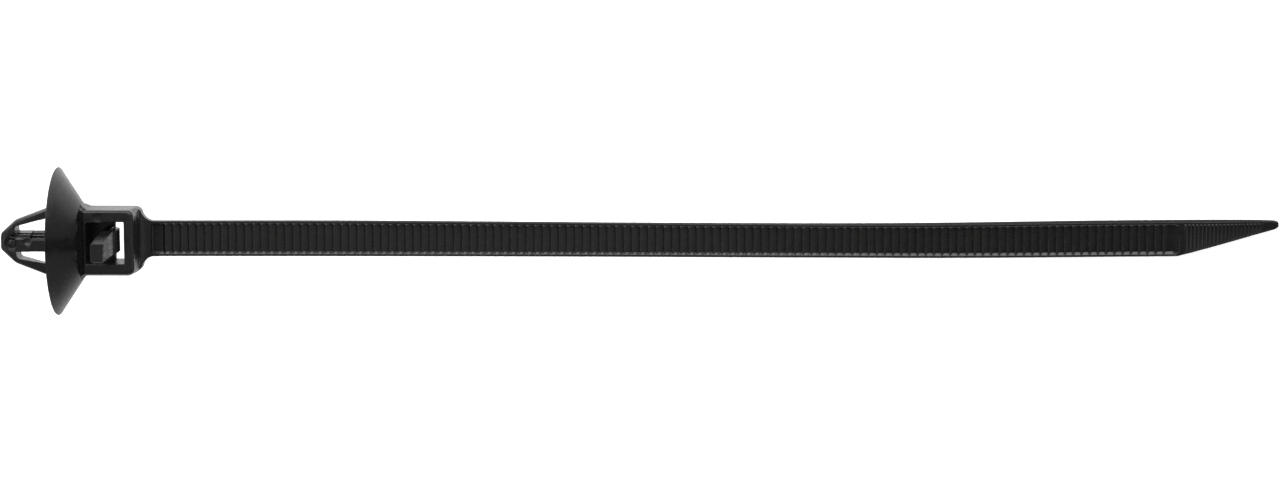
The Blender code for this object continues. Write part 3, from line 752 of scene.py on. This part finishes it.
# Floor
def make_floor():
    half = 6.0
    mesh = bpy.data.meshes.new("floor")
    mesh.from_pydata([(-half, -half, 0), (half, -half, 0), (half, half, 0), (-half, half, 0)], [], [(0, 1, 2, 3)])
    floor = bpy.data.objects.new("floor", mesh)
    bpy.context.scene.collection.objects.link(floor)
    material = bpy.data.materials.new("floor_paper")
    material.use_nodes = True
    shader = material.node_tree.nodes["Principled BSDF"]
    socket(shader, "Roughness", 0.95)
    socket(shader, "Specular IOR Level", 0.0)
    socket(shader, "Emission Color", (1.0, 1.0, 1.0, 1.0))
    # paper lit from behind: the glow is for the eye only, and the tie isn't lit or mirrored by it
    nodes, links = material.node_tree.nodes, material.node_tree.links
    ray = nodes.new("ShaderNodeLightPath")
    glow = nodes.new("ShaderNodeMath")
    glow.operation = "MULTIPLY"
    glow.inputs[1].default_value = FLOOR_GLOW
    links.new(ray.outputs["Is Camera Ray"], glow.inputs[0])
    links.new(glow.outputs[0], shader.inputs["Emission Strength"])
    # painted light: for every ray but the camera's, the floor's colour is a painted pool of light round the head that
    # fades to painted shade further off; the eye sees the even grey
    place = nodes.new("ShaderNodeTexCoord")
    away = nodes.new("ShaderNodeVectorMath")
    away.operation = "DISTANCE"
    away.inputs[1].default_value = (-0.066, 0.0, 0.0)
    links.new(place.outputs["Object"], away.inputs[0])
    painted_light_pool = nodes.new("ShaderNodeMapRange")
    painted_light_pool.interpolation_type = "SMOOTHSTEP"
    painted_light_pool.inputs["From Min"].default_value = 0.009
    painted_light_pool.inputs["From Max"].default_value = 0.03
    painted_light_pool.inputs["To Min"].default_value = FLOOR_PAINTED_LIGHT_NEAR
    painted_light_pool.inputs["To Max"].default_value = FLOOR_PAINTED_SHADE_FAR
    links.new(away.outputs["Value"], painted_light_pool.inputs["Value"])
    grey = nodes.new("ShaderNodeMapRange")
    grey.inputs["To Max"].default_value = FLOOR_SEEN
    links.new(painted_light_pool.outputs["Result"], grey.inputs["To Min"])
    links.new(ray.outputs["Is Camera Ray"], grey.inputs["Value"])
    links.new(grey.outputs["Result"], shader.inputs["Base Color"])
    mesh.materials.append(material)
    return floor


make_floor()


# Camera: the photograph's viewing angle, found from the disc, the head's depth and the strap
def make_camera():
    turn, lift = math.radians(5.26), math.radians(7.5)
    back = Vector((math.sin(turn), math.sin(lift) * math.cos(turn), math.cos(lift) * math.cos(turn)))
    right = Vector((math.cos(turn), -math.sin(turn) * math.sin(lift), -math.sin(turn) * math.cos(lift)))
    up = back.cross(right)
    focal, distance = 6000.0, 769.2
    aim_x, aim_y = (58.5 - 639.5) * distance / focal, -0.128
    eye = -(aim_x * right + aim_y * up) + distance * back
    data = bpy.data.cameras.new("camera")
    camera = bpy.data.objects.new("camera", data)
    bpy.context.scene.collection.objects.link(camera)
    turned_to = Matrix((right, up, back)).transposed().to_4x4()
    camera.matrix_world = rest_matrix() @ Matrix.Translation(eye * MM) @ turned_to
    data.sensor_width = 36.0
    data.lens = focal / 1279 * 36.0
    data.clip_start = 0.01
    data.dof.use_dof = False
    bpy.context.scene.camera = camera


make_camera()


# Light: soft boxes along both sides of the tie, the +Y one brighter, and dim air above and at the ends
def make_light():
    scene = bpy.context.scene
    world = bpy.data.worlds.new("tent")
    scene.world = world
    world.use_nodes = True
    nodes, links = world.node_tree.nodes, world.node_tree.links
    background = nodes["Background"]
    place = nodes.new("ShaderNodeTexCoord")
    parts = nodes.new("ShaderNodeSeparateXYZ")
    links.new(place.outputs["Generated"], parts.inputs[0])

    def box(start, full, strength, axis="Y"):
        side = nodes.new("ShaderNodeMapRange")
        side.interpolation_type = "SMOOTHSTEP"
        side.inputs["From Min"].default_value = start
        side.inputs["From Max"].default_value = full
        side.inputs["To Min"].default_value = 0.0
        side.inputs["To Max"].default_value = strength
        links.new(parts.outputs[axis], side.inputs["Value"])
        return side.outputs["Result"]

    def math_node(operation, a, b):
        node = nodes.new("ShaderNodeMath")
        node.operation = operation
        for socket_in, value in zip(node.inputs, (a, b)):
            if isinstance(value, float):
                socket_in.default_value = value
            else:
                links.new(value, socket_in)
        return node.outputs[0]

    total = math_node("ADD", box(0.3, 0.95, TENT_KEY), box(-0.62, -0.95, TENT_FILL))
    total = math_node("ADD", total, box(-0.36, 0.12, TENT_TOP))
    total = math_node("ADD", total, box(0.4, 0.95, TENT_END, "X"))
    total = math_node("ADD", total, box(-0.55, -0.95, TENT_HEAD, "X"))
    total = math_node("ADD", total, TENT_BASE)
    ray = nodes.new("ShaderNodeLightPath")
    total = math_node("MAXIMUM", total, math_node("MULTIPLY", ray.outputs["Is Camera Ray"], 1.0))
    links.new(total, background.inputs["Strength"])
    socket(background, "Color", (1.0, 1.0, 1.0, 1.0))
    scene.view_settings.view_transform = "Standard"
    scene.view_settings.look = "None"
    scene.view_settings.gamma = 0.9


make_light()
